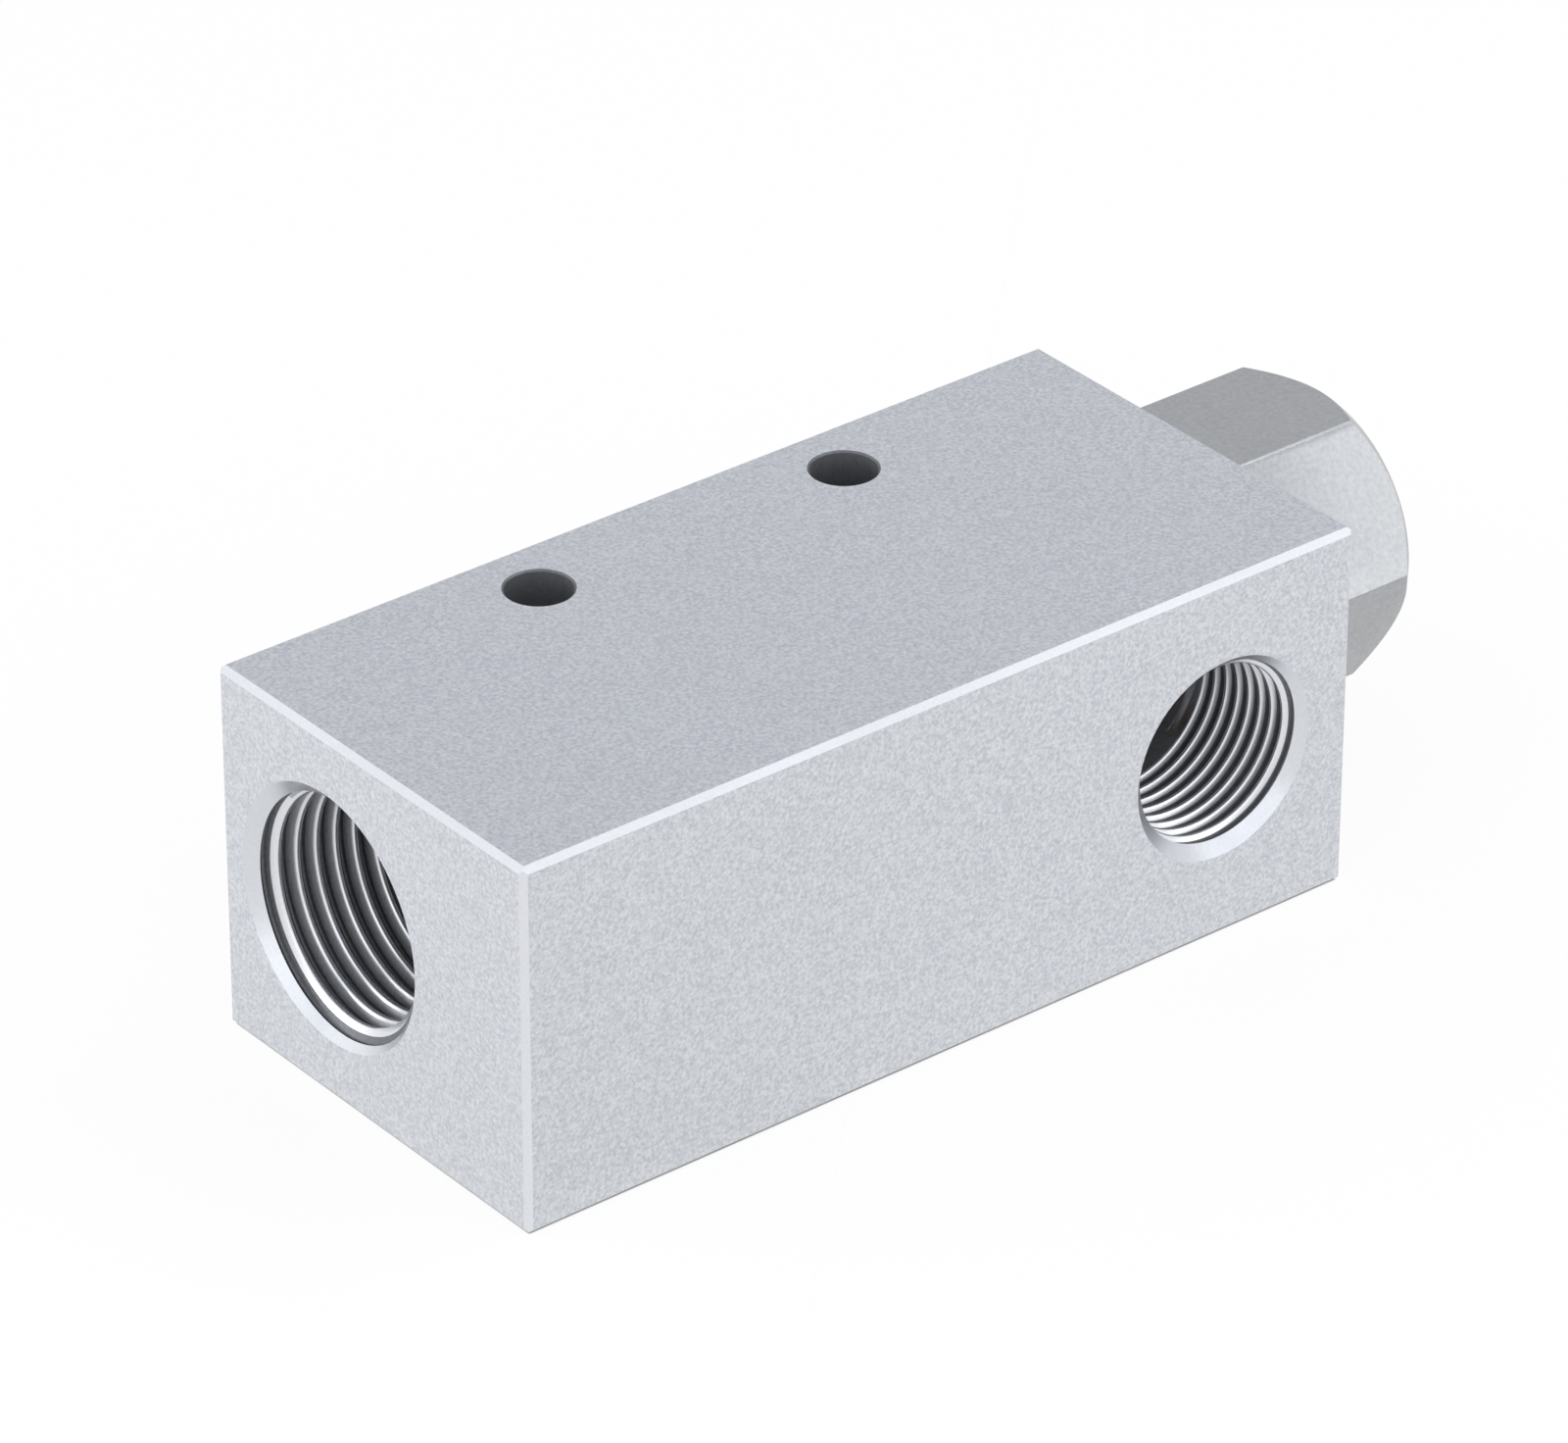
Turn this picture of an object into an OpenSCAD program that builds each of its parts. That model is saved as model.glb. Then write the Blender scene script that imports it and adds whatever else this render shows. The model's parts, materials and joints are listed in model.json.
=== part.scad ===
// Vacuum ejector. Compressed air enters the hexagonal connector, leaves the jet
// nozzle as a fast stream and blows through the diffuser to the exhaust port.
// The chamber between nozzle and diffuser opens into the vacuum port.
// Millimetres, +Z up. The origin lies on the base, midway between the two mounting
// holes. +X runs from the exhaust end to the intake end, and the vacuum port faces -Y.
// Threads are plain bores at the diameter of their crests.

/* [Block] */
// Length of the block, from the exhaust end to the intake end
body_l = 81; // [77:0.5:110]
// Width of the block, from the vacuum face to the back face
body_w = 38; // [36:0.5:60]
// Height of the block
body_h = 32; // [28:0.5:45]
// Chamfer along every edge of the block
edge_chamfer = 0.5; // [0.2:0.1:1.5]

/* [Mounting holes] */
// Diameter of the two through holes
hole_d = 5.5; // [4:0.1:5.9]
// Distance between the two holes
hole_spacing = 30; // [24:0.5:36]
// Distance from the holes to the back face
hole_from_back = 6; // [4:0.1:6.4]
// Distance from the exhaust end to the nearer hole
hole_from_exhaust_end = 26; // [24:0.5:32]
// Width of the broken edge round each hole
hole_rim = 0.15; // [0.1:0.05:0.4]

/* [Ejector axis] */
// Distance from the ejector axis to the back face
axis_from_back = 13.5; // [13:0.1:18]
// Height of the ejector axis and of the vacuum port above the base
axis_h = 16; // [14:0.5:18]

/* [Exhaust port] */
// Crest diameter of the exhaust thread
exhaust_core_d = 18.63; // [14:0.01:20]
// Diameter of the exhaust countersink at the face
exhaust_mouth_d = 21.9; // [20.5:0.1:24]
// Depth of the exhaust port at full diameter
exhaust_depth = 19; // [12:0.5:20]

/* [Vacuum port] */
// Crest diameter of the vacuum thread
vacuum_core_d = 14.95; // [11:0.01:16]
// Diameter of the vacuum countersink at the face
vacuum_mouth_d = 17.5; // [16.5:0.1:20]
// Distance from the ejector axis to the bottom of the vacuum port's full diameter
vacuum_to_axis = 9; // [8.5:0.5:10]
// Distance from the vacuum port's axis to the intake end
vacuum_from_intake_end = 13; // [12:0.5:15]

/* [Vacuum chamber] */
// Diameter of the chamber between nozzle and diffuser
chamber_d = 14; // [13.4:0.1:15]
// Wall between the chamber's floor and the nearer mounting hole
chamber_wall = 1.75; // [1.5:0.05:4]

/* [Inlet connector] */
// Width of the hexagon across its flats
hex_af = 23; // [22:0.5:28]
// Length of the hexagon, outside the block
hex_l = 18.5; // [17:0.5:26]
// Angle past level at which the screwed-in hexagon comes to rest
hex_turn = 3; // [0:1:30]
// Width of the broken edge along each corner of the hexagon
hex_edge = 0.25; // [0.1:0.05:1]
// Diameter of the connector's flat outer face, inside a 45 degree chamfer
hex_face_d = 22; // [18:0.5:22]
// Diameter of the spigot that screws into the block
spigot_d = 16; // [15:0.1:17]
// Length of the spigot
spigot_l = 6; // [5:0.1:7]
// Chamfer on the spigot's nose
spigot_chamfer = 0.5; // [0.2:0.1:0.8]
// Crest diameter of the intake thread
intake_core_d = 11.45; // [10:0.01:13]
// Diameter of the intake countersink at the face
intake_mouth_d = 13.9; // [13.3:0.1:16]
// Depth of the intake port at full diameter
intake_depth = 12.5; // [10:0.5:15]
// Diameter of the air passage behind the intake port
passage_d = 8; // [6.5:0.1:8.4]

/* [Jet nozzle] */
// Diameter of the nozzle's stem
nozzle_stem_d = 9; // [8.8:0.1:10]
// Length of the nozzle's stem
nozzle_stem_l = 6.7; // [5:0.1:8]
// Diameter of the nozzle's flange
nozzle_flange_d = 11; // [10.5:0.1:12.5]
// Thickness of the nozzle's flange
nozzle_flange_t = 1.5; // [1:0.1:2.5]
// Diameter of the nozzle's nose
nose_d = 8.4; // [7.6:0.1:9]
// Length of the cone at the end of the nose
nose_cone_l = 6; // [5:0.1:8]
// Outside diameter of the nozzle's tip
tip_d = 4; // [3.6:0.1:5]
// Diameter of the air bore inside the nozzle
nozzle_bore_d = 6; // [4:0.1:6.2]
// Diameter of the jet's throat
jet_d = 2.5; // [1:0.1:2.8]
// Length of the jet's throat
jet_l = 1.5; // [1:0.1:3]
// Diameter of the jet where it leaves the tip
jet_exit_d = 3; // [2.6:0.1:3.4]
// Length of the widening behind the throat
jet_exit_l = 2; // [1:0.1:3]
// How far the tip reaches into the diffuser's mouth
tip_reach = 0.5; // [0:0.1:1]

/* [Diffuser] */
// Diameter of the diffuser's flange
diffuser_flange_d = 13; // [12.4:0.1:13.2]
// Thickness of the diffuser's flange
diffuser_flange_t = 2.5; // [2:0.1:4]
// Outside diameter of the diffuser's tube
tube_d = 7.56; // [7:0.02:7.8]
// Length of tube that shows in the exhaust port
tube_reach = 0.8; // [0.2:0.1:2]
// Diameter of the mouth that faces the nozzle
mouth_d = 9; // [8:0.1:10]
// Inside diameter where the mouth ends, behind the flange
inlet_d = 6; // [5.2:0.1:6.4]
// Diameter of the diffuser's throat
throat_d = 4.6; // [4:0.1:5]
// Length over which the bore narrows to the throat
inlet_l = 7.5; // [5:0.5:12]
// Length of the diffuser's throat
throat_l = 10; // [6:0.5:16]
// Inside diameter where the diffuser ends
outlet_d = 6; // [5.2:0.1:6.4]

/* [Seals] */
// Height of each squeezed O-ring between its two seats
seal_h = 1.2; // [1:0.05:1.25]
// Width of each squeezed O-ring
seal_w = 1.7; // [1.5:0.05:1.75]
// Room beside each O-ring in its groove
seal_gap = 0.05; // [0.03:0.01:0.1]

/* [Fits] */
// Gap all round a piece that is screwed or pressed in
fit_gap = 0.02; // [0.01:0.01:0.03]
// Full angle of a drill's point
drill_angle = 118; // [90:1:140]

/* [Hidden] */
$fn = 96;

aluminium = [0.80, 0.81, 0.83];
brass = [0.78, 0.65, 0.38];
rubber = [0.12, 0.12, 0.13];

past = 1; // how far a cutter runs past the face it opens

// The block's faces.
exhaust_x = -hole_spacing / 2 - hole_from_exhaust_end;
intake_x = exhaust_x + body_l;
back_y = hole_from_back;
vacuum_y = back_y - body_w;

// The ejector axis, the vacuum port and the chamber.
axis_y = back_y - axis_from_back;
vacuum_x = intake_x - vacuum_from_intake_end;
vacuum_depth = body_w - axis_from_back - vacuum_to_axis; // its point opens the chamber
chamber_x = hole_spacing / 2 + hole_d / 2 + chamber_wall;

// The connector: its outer face, its spigot's end and the nozzle's seat in it.
hex_x = intake_x + hex_l;
spigot_x = intake_x - spigot_l;
thread_x = spigot_x - 0.5; // the tapped bore ends a little beyond the spigot
seat_d = nozzle_stem_d + 2 * fit_gap;
seat_x = spigot_x + nozzle_stem_l + 0.3; // and the seat a little beyond the stem

// The diffuser and its bore.
tube_bore_d = tube_d + 2 * fit_gap;
diffuser_x = chamber_x + diffuser_flange_t;
tube_x = exhaust_x + exhaust_depth
       + drill_point(exhaust_core_d) - drill_point(tube_bore_d) - tube_reach;

// The nozzle's tip, and the middle of its O-ring groove.
tip_x = diffuser_x - tip_reach;
flange_x = spigot_x - nozzle_flange_t;
groove_x = spigot_x + nozzle_stem_l / 2;
groove_d = seat_d - 2 * seal_h;
groove_w = seal_w + 2 * seal_gap;

// The O-rings that are squeezed flat against a face.
connector_ring_d = spigot_d + 2 * fit_gap + 2 * seal_gap;
connector_ring_seat_d = connector_ring_d + 2 * seal_w + 2 * seal_gap;
diffuser_ring_d = tube_bore_d + 2 * seal_gap;
diffuser_ring_seat_d = diffuser_ring_d + 2 * seal_w + 2 * seal_gap;

// Height of a drill's point of diameter d.
function drill_point(d) = d / 2 / tan(drill_angle / 2);

// Puts a piece that is drawn along Z on the ejector axis, with its Z along X.
module on_axis() {
    translate([0, axis_y, axis_h]) rotate([0, 90, 0]) children();
}

// A cylinder along Z from height z0 to height z1.
module rod(d, z0, z1) {
    translate([0, 0, z0]) cylinder(d = d, h = z1 - z0);
}

// A rectangle with its corner at the origin and all four corners cut off.
module cut_rectangle(w, h) {
    c = edge_chamfer;
    polygon([[c, 0], [w - c, 0], [w, c], [w, h - c],
             [w - c, h], [c, h], [0, h - c], [0, c]]);
}

// The block, with a chamfer along each of its twelve edges.
module block() {
    translate([exhaust_x, vacuum_y, 0]) intersection() {
        linear_extrude(body_h) cut_rectangle(body_l, body_w);
        translate([0, body_w, 0]) rotate([90, 0, 0])
            linear_extrude(body_w) cut_rectangle(body_l, body_h);
        rotate([90, 0, 90]) linear_extrude(body_l) cut_rectangle(body_w, body_h);
    }
}

// A hexagon with its corners cut off square to the line through the middle.
module cut_hexagon(af, edge) {
    corner = af / cos(30) - edge * tan(30); // across the cut corners
    intersection() {
        circle(d = af / cos(30), $fn = 6);
        rotate(30) circle(d = corner / cos(30), $fn = 6);
    }
}

// The cutter for a 45 degree countersink along Z, from a bore of diameter d up to its
// mouth at the origin.
module countersink(d, mouth_d) {
    sink = (mouth_d - d) / 2;
    translate([0, 0, -sink])
        cylinder(d1 = d, d2 = mouth_d + 2 * past, h = sink + past);
}

// The cutter for a tapped port along Z. Its mouth is at the origin and it runs down to
// the mark of the drill's point.
module port(core_d, mouth_d, depth) {
    rod(core_d, -depth, past);
    countersink(core_d, mouth_d);
    translate([0, 0, -depth - drill_point(core_d)])
        cylinder(d1 = 0, d2 = core_d, h = drill_point(core_d));
}

// The cutter for one mounting hole, with a broken edge at both faces.
module mounting_hole() {
    rim_d = hole_d + 2 * hole_rim;
    rod(hole_d, -past, body_h + past);
    translate([0, 0, body_h]) countersink(hole_d, rim_d);
    mirror([0, 0, 1]) countersink(hole_d, rim_d);
}

// An O-ring squeezed along its axis, standing on the origin's plane.
module flat_ring(inner_d) {
    rotate_extrude() translate([inner_d / 2 + seal_w / 2, seal_h / 2])
        intersection() {
            circle(d = seal_w);
            square([seal_w, seal_h], center = true);
        }
}

module body() {
    color(aluminium) difference() {
        block();
        for (x = [-hole_spacing / 2, hole_spacing / 2])
            translate([x, 0, 0]) mounting_hole();
        translate([exhaust_x, axis_y, axis_h]) rotate([0, -90, 0])
            port(exhaust_core_d, exhaust_mouth_d, exhaust_depth);
        translate([vacuum_x, vacuum_y, axis_h]) rotate([90, 0, 0])
            port(vacuum_core_d, vacuum_mouth_d, vacuum_depth);
        on_axis() {
            rod(connector_ring_seat_d, intake_x - seal_h, intake_x + past);
            rod(spigot_d + 2 * fit_gap, thread_x, intake_x);
            rod(chamber_d, chamber_x, intake_x);
            rod(diffuser_ring_seat_d, chamber_x - seal_h, chamber_x + past);
            rod(tube_bore_d, exhaust_x + exhaust_depth, chamber_x);
        }
    }
}

module inlet_connector() {
    color(aluminium) on_axis() difference() {
        union() {
            intersection() {
                translate([0, 0, intake_x]) rotate([0, 0, 30 - hex_turn])
                    linear_extrude(hex_l) cut_hexagon(hex_af, hex_edge);
                translate([0, 0, hex_x - body_l])
                    cylinder(d1 = hex_face_d + 2 * body_l, d2 = hex_face_d, h = body_l);
            }
            rod(spigot_d, spigot_x + spigot_chamfer, intake_x + past);
            translate([0, 0, spigot_x])
                cylinder(d1 = spigot_d - 2 * spigot_chamfer, d2 = spigot_d,
                         h = spigot_chamfer);
        }
        translate([0, 0, hex_x]) port(intake_core_d, intake_mouth_d, intake_depth);
        rod(passage_d, spigot_x - past, hex_x - intake_depth);
        rod(seat_d, spigot_x - past, seat_x);
    }
}

// One turned piece: stem, flange and nose outside, and the jet's bore inside.
module jet_nozzle() {
    stem_x = spigot_x + nozzle_stem_l;
    jet_x = tip_x + jet_exit_l;
    feed_x = jet_x + jet_l + (nozzle_bore_d - jet_d) / 2 / tan(30);
    color(brass) on_axis() rotate_extrude() polygon([
        [nozzle_bore_d / 2, stem_x], [nozzle_stem_d / 2, stem_x],
        [nozzle_stem_d / 2, groove_x + groove_w / 2],
        [groove_d / 2, groove_x + groove_w / 2],
        [groove_d / 2, groove_x - groove_w / 2],
        [nozzle_stem_d / 2, groove_x - groove_w / 2],
        [nozzle_stem_d / 2, spigot_x], [nozzle_flange_d / 2, spigot_x],
        [nozzle_flange_d / 2, flange_x], [nose_d / 2, flange_x],
        [nose_d / 2, tip_x + nose_cone_l], [tip_d / 2, tip_x],
        [jet_exit_d / 2, tip_x], [jet_d / 2, jet_x],
        [jet_d / 2, jet_x + jet_l], [nozzle_bore_d / 2, feed_x]
    ]);
}

// One turned piece: a flange with a flared mouth, and a tube whose bore narrows to
// the throat and then widens slowly towards the exhaust port.
module diffuser() {
    throat_x = chamber_x - inlet_l;
    color(brass) on_axis() rotate_extrude() polygon([
        [mouth_d / 2, diffuser_x], [diffuser_flange_d / 2, diffuser_x],
        [diffuser_flange_d / 2, chamber_x], [tube_d / 2, chamber_x],
        [tube_d / 2, tube_x], [outlet_d / 2, tube_x],
        [throat_d / 2, throat_x - throat_l], [throat_d / 2, throat_x],
        [inlet_d / 2, chamber_x]
    ]);
}

module connector_o_ring() {
    color(rubber) on_axis() translate([0, 0, intake_x - seal_h])
        flat_ring(connector_ring_d);
}

// This ring is squeezed between its groove and the seat around it.
module nozzle_o_ring() {
    squeezed = seal_h - 2 * fit_gap;
    color(rubber) on_axis() translate([0, 0, groove_x]) rotate_extrude()
        translate([(groove_d + seal_h) / 2, 0]) intersection() {
            circle(d = seal_w);
            square([squeezed, seal_w], center = true);
        }
}

module diffuser_o_ring() {
    color(rubber) on_axis() translate([0, 0, chamber_x - seal_h])
        flat_ring(diffuser_ring_d);
}

body();
inlet_connector();
jet_nozzle();
diffuser();
connector_o_ring();
nozzle_o_ring();
diffuser_o_ring();
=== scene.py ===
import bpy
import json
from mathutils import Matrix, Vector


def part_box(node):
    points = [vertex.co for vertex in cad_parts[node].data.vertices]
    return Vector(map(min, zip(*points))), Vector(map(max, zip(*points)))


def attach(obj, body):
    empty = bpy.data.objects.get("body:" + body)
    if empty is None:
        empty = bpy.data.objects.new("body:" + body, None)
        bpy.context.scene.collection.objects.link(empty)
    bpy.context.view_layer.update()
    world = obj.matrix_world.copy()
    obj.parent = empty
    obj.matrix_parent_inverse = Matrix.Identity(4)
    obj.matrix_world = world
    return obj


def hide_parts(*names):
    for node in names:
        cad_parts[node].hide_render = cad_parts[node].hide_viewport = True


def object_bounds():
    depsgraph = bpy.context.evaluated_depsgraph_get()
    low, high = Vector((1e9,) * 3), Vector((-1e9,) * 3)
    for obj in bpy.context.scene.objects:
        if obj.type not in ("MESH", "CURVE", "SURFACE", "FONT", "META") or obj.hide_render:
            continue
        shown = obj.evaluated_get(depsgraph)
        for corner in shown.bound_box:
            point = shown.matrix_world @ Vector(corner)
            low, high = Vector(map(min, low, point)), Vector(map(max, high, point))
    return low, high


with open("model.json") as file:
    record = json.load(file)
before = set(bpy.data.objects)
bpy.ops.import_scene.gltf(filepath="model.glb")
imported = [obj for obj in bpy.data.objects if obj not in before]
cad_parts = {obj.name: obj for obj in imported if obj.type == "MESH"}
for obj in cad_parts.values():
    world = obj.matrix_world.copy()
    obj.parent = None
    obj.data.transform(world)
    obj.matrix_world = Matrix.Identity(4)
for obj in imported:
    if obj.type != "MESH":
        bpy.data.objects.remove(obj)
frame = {"nodes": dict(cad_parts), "record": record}
cadBounds = [list(corner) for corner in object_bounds()]

import json
import math
import bpy
import bmesh
from mathutils import Matrix, Vector

# Vacuum ejector: finishes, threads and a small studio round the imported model
mm = 0.001
mounts = {mount["name"]: mount for mount in frame["record"]["mounts"]}
boxLow, boxHigh = (Vector(corner) for corner in cadBounds)
centre = (boxLow + boxHigh) / 2
scene = bpy.context.scene


# Adds one node. A socket among the values is linked, anything else becomes the input's value.
def addNode(tree, kind, values=None, **settings):
    node = tree.nodes.new(kind)
    for name, value in settings.items():
        setattr(node, name, value)
    for socket, value in (values or {}).items():
        if isinstance(value, bpy.types.NodeSocket):
            tree.links.new(value, node.inputs[socket])
        else:
            node.inputs[socket].default_value = value
    return node


# "#d0d4d9" as written in a paint program, to the linear values that the shaders want. The
# numbers are the sRGB curve's own.
def linear(hexColour):
    channels = [int(hexColour[i:i + 2], 16) / 255 for i in (1, 3, 5)]
    return [c / 12.92 if c <= 0.04045 else ((c + 0.055) / 1.055) ** 2.4 for c in channels] + [1.0]


# Camera: azimuth 0 looks along +Y. The offsets say how far its axis passes from the part's middle.
camera = {
    "azimuth": -38.77,        # degrees, as are elevation and roll
    "elevation": 30.75,
    "roll": 0.06,
    "distance": 703.1,        # mm from the part's middle
    "offsetRight": -7.93,     # mm, as is offsetUp
    "offsetUp": 1.13,
    "lens": 207.6,            # mm on a 36 mm sensor
}


def addCamera():
    turn = (Matrix.Rotation(math.radians(camera["azimuth"]), 4, "Z")
            @ Matrix.Rotation(math.radians(90 - camera["elevation"]), 4, "X")
            @ Matrix.Rotation(math.radians(camera["roll"]), 4, "Z"))
    place = Vector((camera["offsetRight"], camera["offsetUp"], camera["distance"])) * mm
    data = bpy.data.cameras.new("camera")
    data.lens = camera["lens"]
    item = bpy.data.objects.new("camera", data)
    item.matrix_world = Matrix.Translation(centre) @ turn @ Matrix.Translation(place)
    scene.collection.objects.link(item)
    scene.camera = item


addCamera()
print("camera placed")


# Sky: white round the horizon and greyer overhead, so that level faces read darker than upright ones
sky = {
    "horizon": "#ffffff",
    "zenith": "#c8cad1",
    "gradientFrom": 0.20,     # height, with 1 straight overhead, where the sky starts to darken
    "gradientTo": 0.85,       # and where it has its zenith colour
    "softStrength": 1.0,      # of the light that it gives
    "mirrorStrength": 1.0,    # of what metal and glass show of it
}


def addSky():
    world = bpy.data.worlds.new("studio")
    world.use_nodes = True
    scene.world = world
    tree = world.node_tree
    tree.nodes.clear()
    path = addNode(tree, "ShaderNodeLightPath")
    direction = addNode(tree, "ShaderNodeTexCoord")
    height = addNode(tree, "ShaderNodeSeparateXYZ", {0: direction.outputs["Generated"]})
    share = addNode(tree, "ShaderNodeMapRange", {
        "Value": height.outputs["Z"], "From Min": sky["gradientFrom"], "From Max": sky["gradientTo"],
    }, interpolation_type="SMOOTHSTEP")
    tint = addNode(tree, "ShaderNodeMix", {
        "Factor": share.outputs["Result"], "A": linear(sky["horizon"]), "B": linear(sky["zenith"]),
    }, data_type="RGBA")
    mirror = addNode(tree, "ShaderNodeMath", {
        0: path.outputs["Is Glossy Ray"], 1: path.outputs["Is Transmission Ray"],
    }, operation="MAXIMUM")
    soft = addNode(tree, "ShaderNodeBackground", {
        "Color": tint.outputs["Result"], "Strength": sky["softStrength"]})
    mirrored = addNode(tree, "ShaderNodeBackground", {
        "Color": tint.outputs["Result"], "Strength": sky["mirrorStrength"]})
    backdrop = addNode(tree, "ShaderNodeBackground", {"Color": linear("#ffffff"), "Strength": 1.0})
    unseen = addNode(tree, "ShaderNodeMixShader", {
        0: mirror.outputs[0], 1: soft.outputs[0], 2: mirrored.outputs[0]})
    final = addNode(tree, "ShaderNodeMixShader", {
        0: path.outputs["Is Camera Ray"], 1: unseen.outputs[0], 2: backdrop.outputs[0]})
    addNode(tree, "ShaderNodeOutputWorld", {"Surface": final.outputs[0]})


addSky()


# Softboxes, each aimed at the part's middle. Angles are in degrees, distance and size in mm and
# power in watts.
softboxes = {
    "front": {"azimuth": -10, "elevation": 40, "distance": 620, "size": 520, "power": 0.54},
    "right": {"azimuth": 46, "elevation": 46, "distance": 640, "size": 560, "power": 0.34},
    "rightLow": {"azimuth": 35, "elevation": 19, "distance": 640, "size": 360, "power": 0.42},
    "rightHigh": {"azimuth": 75, "elevation": 57, "distance": 640, "size": 220, "power": 0.30},
    "frontLeft": {"azimuth": -82, "elevation": 33, "distance": 640, "size": 560, "power": 0.64},
    "left": {"azimuth": -144, "elevation": 36, "distance": 700, "size": 780, "power": 0.42},
    "leftLow": {"azimuth": -128, "elevation": 10, "distance": 640, "size": 200, "power": 0.62},
}


def addSoftboxes():
    for name, box in softboxes.items():
        data = bpy.data.lights.new(name, "AREA")
        data.shape = "SQUARE"
        data.size = box["size"] * mm
        data.energy = box["power"]
        item = bpy.data.objects.new(name, data)
        turn = (Matrix.Rotation(math.radians(box["azimuth"]), 4, "Z")
                @ Matrix.Rotation(math.radians(90 - box["elevation"]), 4, "X"))
        item.matrix_world = (Matrix.Translation(centre) @ turn
                             @ Matrix.Translation((0, 0, box["distance"] * mm)))
        scene.collection.objects.link(item)


addSoftboxes()


# Floor: a sheet of white card. Most of its white is its own glow, so a lamp's shadow only dims it a
# little, and near the part the glow fades out as painted contact shadow.
floor = {
    "size": 6.0,              # m
    "below": 0.02,            # mm under the part
    "colour": "#fafafa",
    "glow": 0.89,             # share of the white that doesn't come from the lamps
    "paintedContactShadow": 0.15,          # mm to the part above within which the glow fades out, as painted contact shadow
    "paintedShadowSamples": 8,
}


def addFloor():
    half = floor["size"] / 2
    z = boxLow.z - floor["below"] * mm
    mesh = bpy.data.meshes.new("floor")
    mesh.from_pydata([(centre.x + x * half, centre.y + y * half, z)
                      for x, y in ((-1, -1), (1, -1), (1, 1), (-1, 1))], [], [(0, 1, 2, 3)])
    item = bpy.data.objects.new("floor", mesh)
    scene.collection.objects.link(item)
    material = bpy.data.materials.new("whiteCard")  # matt, so it mirrors nothing of the part
    material.use_nodes = True
    tree = material.node_tree
    tree.nodes.clear()
    path = addNode(tree, "ShaderNodeLightPath")
    mirror = addNode(tree, "ShaderNodeMath", {
        0: path.outputs["Is Glossy Ray"], 1: path.outputs["Is Transmission Ray"],
    }, operation="MAXIMUM")
    seen = addNode(tree, "ShaderNodeMath", {
        0: path.outputs["Is Camera Ray"], 1: mirror.outputs[0]}, operation="MAXIMUM")
    share = addNode(tree, "ShaderNodeMath", {
        0: seen.outputs[0], 1: floor["glow"]}, operation="MULTIPLY")
    card = addNode(tree, "ShaderNodeBsdfDiffuse", {"Color": linear(floor["colour"])})
    # Painted contact shadow: the glow dims where the part is close above
    paintedContactShadow = addNode(tree, "ShaderNodeAmbientOcclusion", {
        "Distance": floor["paintedContactShadow"] * mm}, samples=floor["paintedShadowSamples"])
    glow = addNode(tree, "ShaderNodeEmission", {
        "Color": linear("#ffffff"), "Strength": paintedContactShadow.outputs["AO"]})
    mix = addNode(tree, "ShaderNodeMixShader", {
        0: share.outputs[0], 1: card.outputs[0], 2: glow.outputs[0]})
    addNode(tree, "ShaderNodeOutputMaterial", {"Surface": mix.outputs[0]})
    mesh.materials.append(material)


addFloor()
print("sky, softboxes and floor placed")


# Metal finishes. The grain is a speckle of two tones with a bump of the same size. grain, bump
# and lines are in mm: the width of a speckle, the height of the bump and the distance of the
# lathe's rings. The real grain of all of them is near 0.1 mm or below, so it is drawn as coarse
# as it needs to show.
finishes = {
    # Glass bead blasted, then clear anodised: an even satin without lines
    "beadBlastedAnodisedAluminium": {
        "tone": "#dee0e4", "toneDark": "#bfc2c8", "roughness": 0.50, "grain": 0.30, "bump": 0.010},
    # Milled, then anodised, for chamfers and the crests of the threads: smoother than the
    # blasted faces, so they pick up the softboxes as brighter lines
    "milledAnodisedAluminium": {
        "tone": "#e1e3e7", "toneDark": "#dadce0", "roughness": 0.30, "grain": 0.25, "bump": 0.002},
    # Countersunk in one plunge, then anodised: the tool chatters, so the cone is a little duller
    # than a milled chamfer
    "countersunkAnodisedAluminium": {
        "tone": "#d8dbe0", "toneDark": "#d1d4d9", "roughness": 0.34, "grain": 0.25, "bump": 0.002},
    # Tapped, then anodised, for flanks, bores and the walls of the mounting holes: torn by the
    # tool, duller than the crests, and darker in tone as painted shade for these recesses
    "tappedAluminiumPaintedShade": {
        "tone": "#babcc0", "toneDark": "#aaacb0", "roughness": 0.46, "grain": 0.30, "bump": 0.004},
    # Anodised aluminium with a dark tone of painted shade, for the roots of the threads and the
    # rims of the mounting holes, where little light reaches; rough, like the tapped walls
    "paintedDeepShadeAluminium": {
        "tone": "#7b7d81", "toneDark": "#6d6f73", "roughness": 0.50, "grain": 0.30, "bump": 0.004},
    # Drawn hexagon bar, turned and anodised: a glossier and darker satin than the block's
    "drawnAnodisedAluminium": {
        "tone": "#b0b2b4", "toneDark": "#a2a4a7", "roughness": 0.34, "grain": 0.40, "bump": 0.003},
    # Free-cutting brass, bare from the lathe: warm, with rings round the axis. The real ones are
    # about 0.12 mm apart, drawn wide enough to show.
    "turnedBrass": {
        "tone": "#cda75e", "toneDark": "#b98f48", "roughness": 0.28, "grain": 0.30, "bump": 0.002,
        "lines": 0.754},
}
metalPattern = {
    "spreadFrom": 0.30,       # part of the noise that is spread over both tones
    "spreadTo": 0.70,
    "patch": 14,              # mm across the patches of slightly different gloss
    "glossChange": 0.03,      # roughness that they gain or lose
    "waveFactor": 20,         # by which a wave texture multiplies its scale
}


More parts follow.
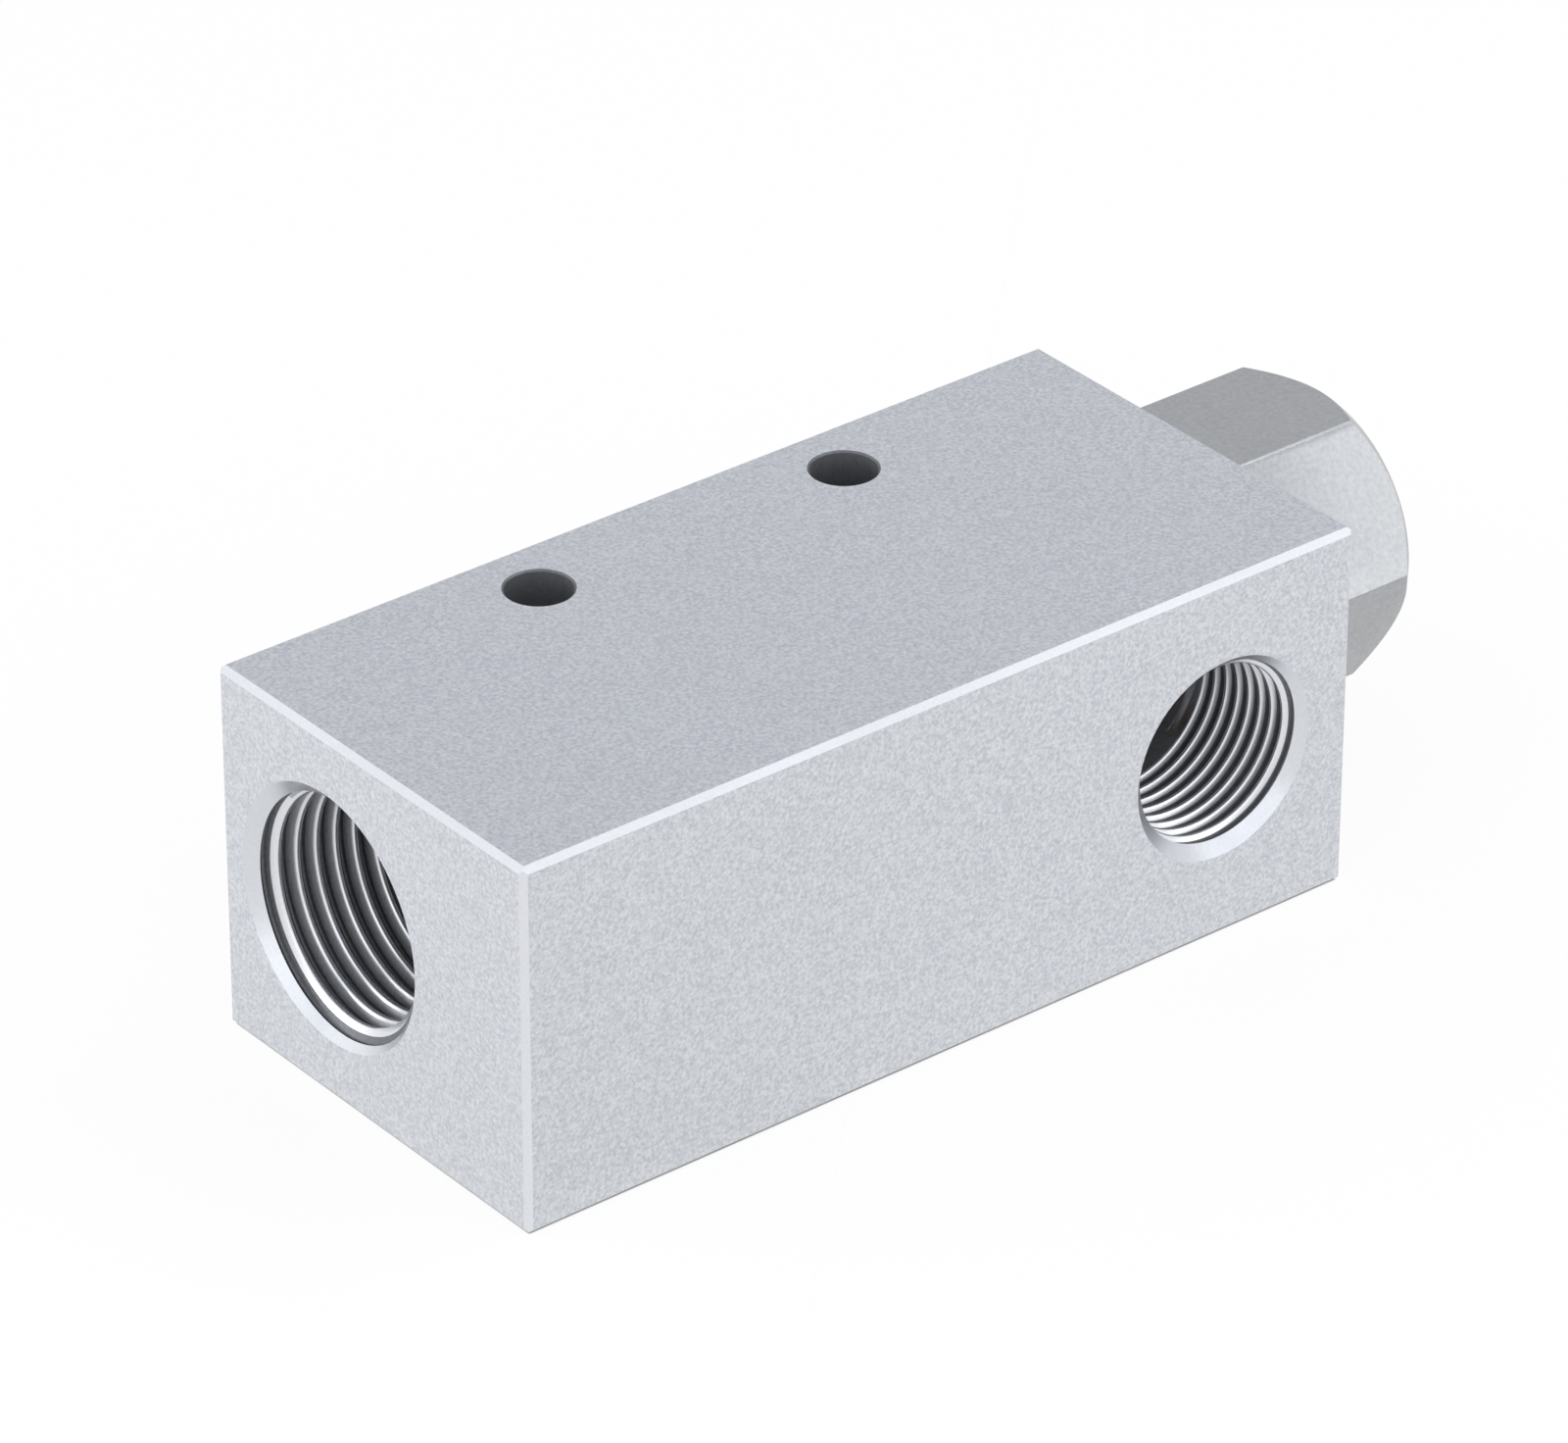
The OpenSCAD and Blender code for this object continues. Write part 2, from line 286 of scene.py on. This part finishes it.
def metal(name):
    finish = finishes[name]
    material = bpy.data.materials.new(name)
    material.use_nodes = True
    tree = material.node_tree
    shader = tree.nodes["Principled BSDF"]
    place = addNode(tree, "ShaderNodeTexCoord")
    grain = addNode(tree, "ShaderNodeTexNoise", {
        "Vector": place.outputs["Object"], "Scale": 1 / (finish["grain"] * mm),
        "Detail": 2.0, "Roughness": 0.6})
    patches = addNode(tree, "ShaderNodeTexNoise", {
        "Vector": place.outputs["Object"], "Scale": 1 / (metalPattern["patch"] * mm), "Detail": 1.0})
    contrast = addNode(tree, "ShaderNodeMapRange", {
        "Value": grain.outputs["Fac"],
        "From Min": metalPattern["spreadFrom"], "From Max": metalPattern["spreadTo"]})
    tone = addNode(tree, "ShaderNodeMix", {
        "Factor": contrast.outputs["Result"], "A": linear(finish["toneDark"]),
        "B": linear(finish["tone"])}, data_type="RGBA")
    satin = addNode(tree, "ShaderNodeMapRange", {
        "Value": patches.outputs["Fac"],
        "From Min": metalPattern["spreadFrom"], "From Max": metalPattern["spreadTo"],
        "To Min": finish["roughness"] - metalPattern["glossChange"],
        "To Max": finish["roughness"] + metalPattern["glossChange"]})
    height = grain.outputs["Fac"]
    if "lines" in finish:
        ringScale = math.tau / (finish["lines"] * mm * metalPattern["waveFactor"])
        rings = addNode(tree, "ShaderNodeTexWave", {
            "Vector": place.outputs["Object"], "Scale": ringScale, "Distortion": 0.4,
            "Detail": 1.0}, wave_type="BANDS", bands_direction="X")
        height = rings.outputs["Fac"]
    bump = addNode(tree, "ShaderNodeBump", {
        "Height": height, "Strength": 1.0, "Distance": finish["bump"] * mm})
    shader.inputs["Metallic"].default_value = 1.0
    tree.links.new(tone.outputs["Result"], shader.inputs["Base Color"])
    tree.links.new(satin.outputs["Result"], shader.inputs["Roughness"])
    tree.links.new(bump.outputs["Normal"], shader.inputs["Normal"])
    return material


# Nitrile rubber, moulded: matt black with an uneven, faint sheen
rubber = {
    "colour": "#1b1b1d",
    "roughness": 0.55,
    "glossChange": 0.08,      # roughness that the grain adds or takes
    "grain": 0.3,             # mm
    "bump": 0.004,            # mm
}


def rubberMaterial():
    material = bpy.data.materials.new("mouldedNitrileRubber")
    material.use_nodes = True
    tree = material.node_tree
    shader = tree.nodes["Principled BSDF"]
    place = addNode(tree, "ShaderNodeTexCoord")
    grain = addNode(tree, "ShaderNodeTexNoise", {
        "Vector": place.outputs["Object"], "Scale": 1 / (rubber["grain"] * mm), "Detail": 3.0})
    bump = addNode(tree, "ShaderNodeBump", {
        "Height": grain.outputs["Fac"], "Distance": rubber["bump"] * mm})
    satin = addNode(tree, "ShaderNodeMapRange", {
        "Value": grain.outputs["Fac"], "To Min": rubber["roughness"] - rubber["glossChange"],
        "To Max": rubber["roughness"] + rubber["glossChange"]})
    shader.inputs["Base Color"].default_value = linear(rubber["colour"])
    tree.links.new(satin.outputs["Result"], shader.inputs["Roughness"])
    tree.links.new(bump.outputs["Normal"], shader.inputs["Normal"])
    return material


blasted = metal("beadBlastedAnodisedAluminium")
milled = metal("milledAnodisedAluminium")
countersunk = metal("countersunkAnodisedAluminium")
tappedPaintedShade = metal("tappedAluminiumPaintedShade")
paintedDeepShade = metal("paintedDeepShadeAluminium")
drawn = metal("drawnAnodisedAluminium")
brass = metal("turnedBrass")
print("finishes made")


# Whitworth pipe threads. The pitch and the widest diameter are the standard's, and the diameter
# at the crests comes from the mount. depth is how far the thread reaches behind the mouth, all in
# mm, and start turns it about the port's axis, in degrees. The two shares of the groove's depth
# that follow paint its light: down to the first the flank takes the crests' lighter finish as
# painted highlight, and from the second the root takes a dark finish as painted shade.
threads = {
    "exhaust_port": {"pitch": 1.814, "major": 20.955, "depth": 16.3, "start": -89,
                     "paintedLightShare": 0.25, "paintedShadeShare": 0.70},
    "vacuum_port": {"pitch": 1.337, "major": 16.662, "depth": 11.96, "start": 113,
                    "paintedLightShare": 0.45, "paintedShadeShare": 0.45},
    "air_intake": {"pitch": 1.337, "major": 13.157, "depth": 10.5, "start": 0,
                   "paintedLightShare": 0.25, "paintedShadeShare": 0.70},
}
threadForm = {
    "crestFlat": 1 / 6,       # width of crests and roots before they are rounded, in pitches
    "round": 0.137,           # radius of crests and roots, in pitches
    "sectionPoints": 13,      # over one pitch, so that the corners of crest and root fall on points
    "cornerPoints": 3,        # round each of these corners
    "stepsPerTurn": 120,
    "runOut": 0.6,            # turns over which the groove fades out at the deep end
    "merge": 0.0005,          # mm within which the edges of two turns become one
    "clear": 0.005,           # mm that the tap is wider than the plain bore, so that it cuts it all
    "startOutside": 1.5,      # pitches in front of the mouth
    "mouthBand": 2.1,             # mm behind the face within which the groove is painted in two parts only, lit and dark
    "mouthLightShare": 0.50,       # share of the groove's depth there in the crests' finish as painted highlight; the rest is painted shade
}


# The tree draws one pitch of the groove from crest to crest, pulls it along a straight path with
# one unit for each turn, then wraps that round the axis. Z points out of the port, so the lead,
# by which a turn moves along it, is negative.
def threadTree():
    tree = bpy.data.node_groups.new("threadTap", "GeometryNodeTree")
    for name, kind in (("Pitch", "Float"), ("Lead", "Float"), ("Crest Radius", "Float"),
                       ("Groove Depth", "Float"), ("Crest Flat", "Float"), ("Round", "Float"),
                       ("Turns", "Float"), ("Full Turns", "Float"), ("Steps", "Int"),
                       ("Start Angle", "Float"), ("Material", "Material")):
        tree.interface.new_socket(name, in_out="INPUT", socket_type="NodeSocket" + kind)
    tree.interface.new_socket("Mesh", in_out="OUTPUT", socket_type="NodeSocketGeometry")
    given = addNode(tree, "NodeGroupInput").outputs
    where = addNode(tree, "GeometryNodeInputPosition").outputs[0]
    spot = addNode(tree, "ShaderNodeSeparateXYZ", {0: where}).outputs

    # The section, half a pitch to either side of the root
    line = addNode(tree, "GeometryNodeCurvePrimitiveLine", {"Start": (-0.5, 0, 0), "End": (0.5, 0, 0)})
    points = addNode(tree, "GeometryNodeResampleCurve", {
        "Curve": line.outputs[0], "Count": threadForm["sectionPoints"]})
    aside = addNode(tree, "ShaderNodeMath", {0: spot["X"]}, operation="ABSOLUTE")
    rootEdge = addNode(tree, "ShaderNodeMath", {0: given["Crest Flat"], 1: 0.5}, operation="MULTIPLY")
    crestEdge = addNode(tree, "ShaderNodeMath", {0: 0.5, 1: rootEdge.outputs[0]}, operation="SUBTRACT")
    slope = addNode(tree, "ShaderNodeMapRange", {
        "Value": aside.outputs[0], "From Min": rootEdge.outputs[0], "From Max": crestEdge.outputs[0],
        "To Min": given["Groove Depth"], "To Max": 0.0})
    along = addNode(tree, "ShaderNodeMath", {0: spot["X"], 1: given["Pitch"]}, operation="MULTIPLY")
    corner = addNode(tree, "ShaderNodeCombineXYZ", {0: along.outputs[0], 1: slope.outputs[0]})
    form = addNode(tree, "GeometryNodeSetPosition", {
        "Geometry": points.outputs[0], "Position": corner.outputs[0]})
    bend = addNode(tree, "ShaderNodeMath", {0: given["Round"], 1: given["Pitch"]}, operation="MULTIPLY")
    section = addNode(tree, "GeometryNodeFilletCurve", {
        "Curve": form.outputs[0], "Radius": bend.outputs[0], "Count": threadForm["cornerPoints"],
        "Limit Radius": True}, mode="POLY")

    # The straight strip
    end = addNode(tree, "ShaderNodeCombineXYZ", {2: given["Turns"]})
    path = addNode(tree, "GeometryNodeCurvePrimitiveLine", {"End": end.outputs[0]})
    count = addNode(tree, "ShaderNodeMath", {0: given["Steps"], 1: 1}, operation="ADD")
    rail = addNode(tree, "GeometryNodeResampleCurve", {
        "Curve": path.outputs[0], "Count": count.outputs[0]})
    strip = addNode(tree, "GeometryNodeCurveToMesh", {
        "Curve": rail.outputs[0], "Profile Curve": section.outputs[0]})

    # Wrapped round the axis: right-handed, and deeper with every turn
    fade = addNode(tree, "ShaderNodeMapRange", {
        "Value": spot["Z"], "From Min": given["Full Turns"], "From Max": given["Turns"],
        "To Min": 1.0, "To Max": 0.0})
    radius = addNode(tree, "ShaderNodeMath", {
        0: spot["Y"], 1: fade.outputs[0], 2: given["Crest Radius"]}, operation="MULTIPLY_ADD")
    depth = addNode(tree, "ShaderNodeMath", {
        0: spot["Z"], 1: given["Lead"], 2: spot["X"]}, operation="MULTIPLY_ADD")
    angle = addNode(tree, "ShaderNodeMath", {
        0: spot["Z"], 1: -2 * math.pi, 2: given["Start Angle"]}, operation="MULTIPLY_ADD")
    arm = addNode(tree, "ShaderNodeCombineXYZ", {0: radius.outputs[0], 2: depth.outputs[0]})
    wrapped = addNode(tree, "ShaderNodeVectorRotate", {
        "Vector": arm.outputs[0], "Angle": angle.outputs[0]}, rotation_type="Z_AXIS")
    helix = addNode(tree, "GeometryNodeSetPosition", {
        "Geometry": strip.outputs[0], "Position": wrapped.outputs[0]})
    joined = addNode(tree, "GeometryNodeMergeByDistance", {
        "Geometry": helix.outputs[0], "Distance": threadForm["merge"] * mm})

    real = addNode(tree, "GeometryNodeRealizeInstances", {"Geometry": joined.outputs[0]})
    cutWalls = addNode(tree, "GeometryNodeSetMaterial", {
        "Geometry": real.outputs[0], "Material": given["Material"]})
    addNode(tree, "NodeGroupOutput", {"Mesh": cutWalls.outputs[0]})
    return tree


tapTree = threadTree()


# Gives an object the plain mesh that its modifiers make of it, and removes them
def bake(item):
    graph = bpy.context.evaluated_depsgraph_get()
    mesh = bpy.data.meshes.new_from_object(item.evaluated_get(graph))
    mesh.name = item.name
    item.modifiers.clear()
    item.data = mesh


# The mouth of a port as a frame: its middle on the face, with Z pointing out of the port
def portFrame(name):
    mount = mounts[name]
    outward = Vector(mount["axis"])
    low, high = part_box("inlet_connector" if name == "air_intake" else "body")
    reach = max(outward.dot(low), outward.dot(high))
    mouth = Vector(mount["pos_m"])
    mouth += outward * (reach - outward.dot(mouth))
    side = Vector((0, 0, 1)).cross(outward)
    turn = Matrix((side, Vector((0, 0, 1)), outward)).transposed().to_4x4()
    return Matrix.Translation(mouth) @ turn


# Closes both open ends of a tap, each with a fan of faces round a new point on the axis
def closeEnds(work):
    rims = [edge for edge in work.edges if edge.is_boundary]
    while rims:
        loop = [rims.pop(0)]
        grown = loop
        while grown:
            ends = {vert for edge in grown for vert in edge.verts}
            grown = [edge for edge in rims if ends & set(edge.verts)]
            rims = [edge for edge in rims if edge not in grown]
            loop += grown
        middle = sum(vert.co.z for edge in loop for vert in edge.verts) / (2 * len(loop))
        tip = work.verts.new((0, 0, middle))
        for edge in loop:
            work.faces.new((edge.verts[0], edge.verts[1], tip))
    bmesh.ops.recalc_face_normals(work, faces=work.faces)


# A tap: the solid that cuts a port's thread, in its place
def threadTap(name):
    thread = threads[name]
    pitch = thread["pitch"] * mm
    crest = mounts[name]["dims"]["r_mm"] * mm + threadForm["clear"] * mm
    deep = thread["major"] / 2 * mm - crest
    turns = thread["depth"] / thread["pitch"] + threadForm["startOutside"]
    steps = round(turns * threadForm["stepsPerTurn"])  # whole steps, so that the turns' edges meet
    turns = steps / threadForm["stepsPerTurn"]
    values = {
        "Pitch": pitch, "Lead": -pitch, "Crest Radius": crest, "Groove Depth": deep,
        "Crest Flat": threadForm["crestFlat"], "Round": threadForm["round"], "Turns": turns,
        "Full Turns": turns - threadForm["runOut"], "Steps": steps,
        "Start Angle": math.radians(thread["start"]), "Material": tappedPaintedShade,
    }
    item = bpy.data.objects.new(name + "Tap", bpy.data.meshes.new("empty"))
    scene.collection.objects.link(item)
    modifier = item.modifiers.new("thread", "NODES")
    modifier.node_group = tapTree
    for socket in tapTree.interface.items_tree:
        if socket.in_out == "INPUT":
            modifier[socket.identifier] = values[socket.name]
    bake(item)
    work = bmesh.new()
    work.from_mesh(item.data)
    closeEnds(work)
    work.transform(portFrame(name) @ Matrix.Translation((0, 0, threadForm["startOutside"] * pitch)))
    work.to_mesh(item.data)
    work.free()
    print(item.name + ":", len(item.data.polygons), "faces")
    return item


meshing = {
    "merge": 0.001,           # mm within which two points of a CAD mesh are one
    "flat": 0.002,            # radians within which its triangles are one flat face
    "smooth": 30,             # degrees within which faces shade as one surface
}


# A merged copy of a CAD node as a new object. Its flat faces become single faces.
def nodeCopy(node, name):
    mesh = bpy.data.meshes.new(name)
    work = bmesh.new()
    work.from_mesh(frame["nodes"][node].data)
    bmesh.ops.remove_doubles(work, verts=work.verts, dist=meshing["merge"] * mm)
    bmesh.ops.dissolve_limit(work, angle_limit=meshing["flat"], verts=work.verts, edges=work.edges)
    work.to_mesh(mesh)
    work.free()
    mesh.attributes.remove(mesh.attributes["custom_normal"])  # they belong to the loose triangles
    item = bpy.data.objects.new(name, mesh)
    scene.collection.objects.link(item)
    return item


# Cuts the taps out of a piece. Their walls bring the tapped finish, darkened as painted shade, with
# them.
def cut(item, taps):
    for tap in taps:
        modifier = item.modifiers.new("cut", "BOOLEAN")
        modifier.operation = "DIFFERENCE"
        modifier.object = tap
        modifier.solver = "EXACT"
        modifier.material_mode = "TRANSFER"
    bake(item)
    for tap in taps:
        bpy.data.objects.remove(tap)


def smooth(item):
    item.data.polygons.foreach_set("use_smooth", [True] * len(item.data.polygons))
    item.data.set_sharp_from_angle(angle=math.radians(meshing["smooth"]))


# The finish of a wall that a tap cut, from its place in the frame of the port's mouth. Down the groove
# it paints light and shade: the crests' milled finish as painted highlight, then the darker tapped and
# root finishes as painted shade.
def tapFinish(name, spot):
    thread = threads[name]
    crest = mounts[name]["dims"]["r_mm"]
    share = (spot.xy.length / mm - crest) / (thread["major"] / 2 - crest)
    mouthBand = -spot.z < threadForm["mouthBand"] * mm
    # Painted highlight down to the share, then painted shade: mid-grey on the flank, dark at the root
    if share < (threadForm["mouthLightShare"] if mouthBand else thread["paintedLightShare"]):
        return milled
    return tappedPaintedShade if share < thread["paintedShadeShare"] and not mouthBand else paintedDeepShade


# Gives each face its finish, out of those in used. other(spot) says it where no tap cut.
def dress(item, ports, used, other):
    mesh = item.data
    cutByTap = [mesh.materials[face.material_index] == tappedPaintedShade for face in mesh.polygons]
    intoPort = {name: portFrame(name).inverted() for name in ports}
    mesh.materials.clear()
    for finish in used:
        mesh.materials.append(finish)
    for face, byTap in zip(mesh.polygons, cutByTap):
        finish = other(face.center)
        if byTap:
            spots = {name: turn @ face.center for name, turn in intoPort.items()}
            name = min(spots, key=lambda port: spots[port].xy.length)
            finish = tapFinish(name, spots[name])
        face.material_index = used.index(finish)


# Block: the places that tell its finishes apart, in mm
block = {
    "skin": 0.01,             # nearer to an outer face than this is the face itself
    "chamfer": 1.0,           # nearer to two outer faces than this are the chamfers
    "countersink": 2.5,       # nearer to one outer face than this are the countersinks
    "rim": 0.3,               # width and depth of a mounting hole's broken edge, with some room
}


def makeBlock():
    item = nodeCopy("body", "block")
    cut(item, [threadTap("exhaust_port"), threadTap("vacuum_port")])
    low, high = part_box("body")
    holes = mounts["mounting_holes"]["dims"]

    def other(spot):
        inset, nextInset = sorted(min(spot[i] - low[i], high[i] - spot[i]) for i in range(3))[:2]
        toHole = math.hypot(abs(spot.x) - holes["spacing_x_mm"] / 2 * mm, spot.y)
        if inset < block["skin"] * mm:
            return blasted
        # Mounting holes: the rim gets the dark finish and the walls the tapped one, both as painted
        # shade
        if toHole < (holes["hole_r_mm"] + block["rim"]) * mm:
            return paintedDeepShade if inset <= block["rim"] * mm else tappedPaintedShade
        if nextInset < block["chamfer"] * mm:
            return milled
        # Walls further in than the countersinks take the tapped finish's darker tone as painted shade
        return countersunk if inset < block["countersink"] * mm else tappedPaintedShade

    dress(item, ("exhaust_port", "vacuum_port"), [blasted, milled, countersunk, tappedPaintedShade, paintedDeepShade], other)
    smooth(item)
    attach(item, "root")
    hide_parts("body")
    print("block:", len(item.data.polygons), "faces")


makeBlock()


# Connector: the places that tell its finishes apart, in mm
connector = {
    "skin": 0.01,             # nearer to the end face than this is the face itself
    "countersink": 2.5,       # nearer to the end face than this is the countersink
    "intake": 7.2,            # nearer to the axis than this are the walls of the intake
}


def makeConnector():
    item = nodeCopy("inlet_connector", "connector")
    cut(item, [threadTap("air_intake")])
    intoIntake = portFrame("air_intake").inverted()

    def other(spot):
        place = intoIntake @ spot
        if place.xy.length > connector["intake"] * mm or -place.z < connector["skin"] * mm:
            return drawn
        # Past the countersink, the intake's walls take the tapped finish's darker tone as painted shade
        return countersunk if -place.z < connector["countersink"] * mm else tappedPaintedShade

    dress(item, ("air_intake",), [drawn, milled, countersunk, tappedPaintedShade, paintedDeepShade], other)
    smooth(item)
    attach(item, "root")
    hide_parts("inlet_connector")
    print("connector:", len(item.data.polygons), "faces")


makeConnector()

# The inner pieces keep their CAD form and get their finish
sealFinish = rubberMaterial()
for name, finish in (("jet_nozzle", brass), ("diffuser", brass), ("connector_o_ring", sealFinish),
                     ("nozzle_o_ring", sealFinish), ("diffuser_o_ring", sealFinish)):
    for slot in frame["nodes"][name].material_slots:
        slot.material = finish
print("inner pieces dressed")

scene.view_settings.view_transform = "Standard"
